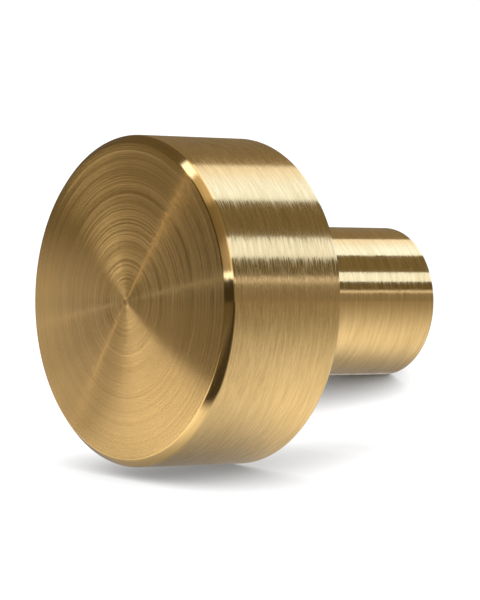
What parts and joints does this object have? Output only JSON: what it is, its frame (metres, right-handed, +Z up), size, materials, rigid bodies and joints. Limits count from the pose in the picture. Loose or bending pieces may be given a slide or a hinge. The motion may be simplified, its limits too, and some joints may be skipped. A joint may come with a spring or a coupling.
{
  "type": "cabinet knob",
  "caption": "Round cabinet knob of solid brass: a thick disc head with a chamfered rim on a plain round neck, tapped at the back for a fixing screw.",
  "frame": {"origin": "centre of the mounting face, at the mouth of the tapped hole", "axes": "+Y along the knob's axis, out of the mounting face into the door; the grip face looks to -Y; +Z up"},
  "size_m": [0.03, 0.031, 0.03],
  "materials": {
    "brushed_brass": "brushed in rings, with a polished rim chamfer"
  },
  "bodies": {
    "root": {"knob": "brushed_brass"}
  },
  "joints": []
}
